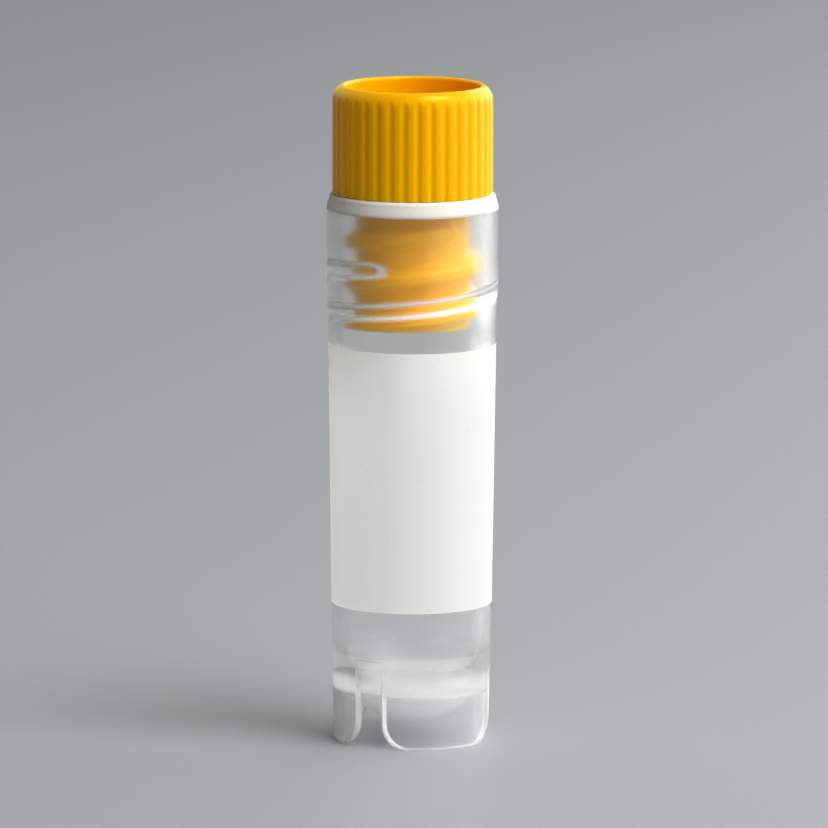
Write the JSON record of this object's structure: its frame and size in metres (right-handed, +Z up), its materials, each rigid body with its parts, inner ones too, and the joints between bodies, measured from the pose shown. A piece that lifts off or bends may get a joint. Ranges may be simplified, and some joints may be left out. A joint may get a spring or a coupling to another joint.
{
  "type": "cryovial",
  "caption": "Self-standing cryogenic vial: a translucent round-bottomed tube on slotted feet, with a ribbed screw cap, a soft sealing washer and a white writing patch.",
  "frame": {"origin": "on the tube's axis, in the plane that the feet stand on", "axes": "+Z up along the tube's axis, towards the cap; -Y towards the middle of the side that the writing patch faces, within 8 degrees; +X to the right of that side"},
  "size_m": [0.0125, 0.0124, 0.0481],
  "materials": {
    "tube_plastic": "natural translucent polypropylene, moulded, slightly hazy",
    "cap_plastic": "yellow polypropylene, moulded, soft gloss",
    "washer_silicone": "white silicone, moulded, satin",
    "patch_ink": "white printed ink, matt, takes a pen"
  },
  "bodies": {
    "tube": {"tube": "tube_plastic", "writing_patch": "patch_ink"},
    "washer": {"washer": "washer_silicone"},
    "cap": {"cap": "cap_plastic"}
  },
  "joints": [
    {"name": "cap_lift", "type": "slide", "parent": "tube", "child": "washer", "axis": [0, 0, 1], "range_m": [0, 0.00535]},
    {"name": "cap_turn", "type": "hinge", "parent": "washer", "child": "cap", "pos_m": [0, 0, 0.0402], "axis": [0, 0, 1], "range_deg": [0, 630]}
  ],
  "couplings": [
    {"joint": "cap_turn", "follows": "cap_lift", "rad_per_m": 2053.3}
  ]
}
